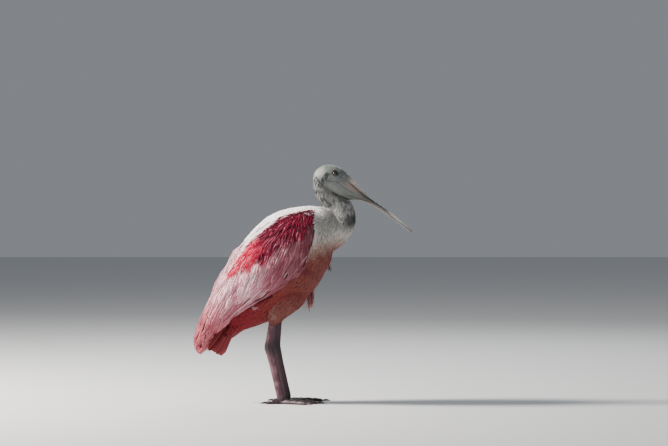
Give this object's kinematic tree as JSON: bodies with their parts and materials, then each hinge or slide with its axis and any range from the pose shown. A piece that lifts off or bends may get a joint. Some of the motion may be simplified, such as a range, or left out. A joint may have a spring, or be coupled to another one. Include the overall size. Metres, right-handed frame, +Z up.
{
  "type": "roseate spoonbill",
  "caption": "Life-size standing roseate spoonbill with folded pink wings, a drawn-back neck and a long spoon-shaped bill.",
  "frame": {"origin": "on the floor under the middle of the bird's box", "axes": "+X the way the bird faces, +Y its left side, +Z up"},
  "size_m": [0.4137, 0.1416, 0.4533],
  "materials": {
    "skin": "bare pale greenish-grey skin, finely creased, darker round the ear and nape",
    "eye": "wet dark red eye with a black pupil",
    "bill": "horn, grey with a pinkish stripe and dark grooves, satin",
    "neck": "short off-white and grey feathers",
    "body": "soft feathers, white on the mantle and deep red under the belly",
    "wing": "pink vanes with a carmine band along the shoulder",
    "tail": "stiff reddish feathers",
    "thigh": "short dark red feathers",
    "leg": "scaled skin, purplish black with a pink bloom on the near leg",
    "claw": "black horn"
  },
  "bodies": {
    "root": {"head": "skin", "eye_right": "eye", "eye_left": "eye", "bill_upper": "bill", "bill_lower": "bill", "neck_upper": "neck", "neck_lower": "neck", "torso": "body", "wing_right": "wing", "wing_left": "wing", "tail": "tail", "thigh_right": "thigh", "thigh_left": "thigh", "tibia_right": "leg", "tibia_left": "leg", "tarsus_right": "leg", "tarsus_left": "leg", "foot_right": "leg", "foot_left": "leg", "claw_hind_right": "claw", "claw_inner_right": "claw", "claw_middle_right": "claw", "claw_outer_right": "claw", "claw_hind_left": "claw", "claw_inner_left": "claw", "claw_middle_left": "claw", "claw_outer_left": "claw"}
  },
  "joints": []
}
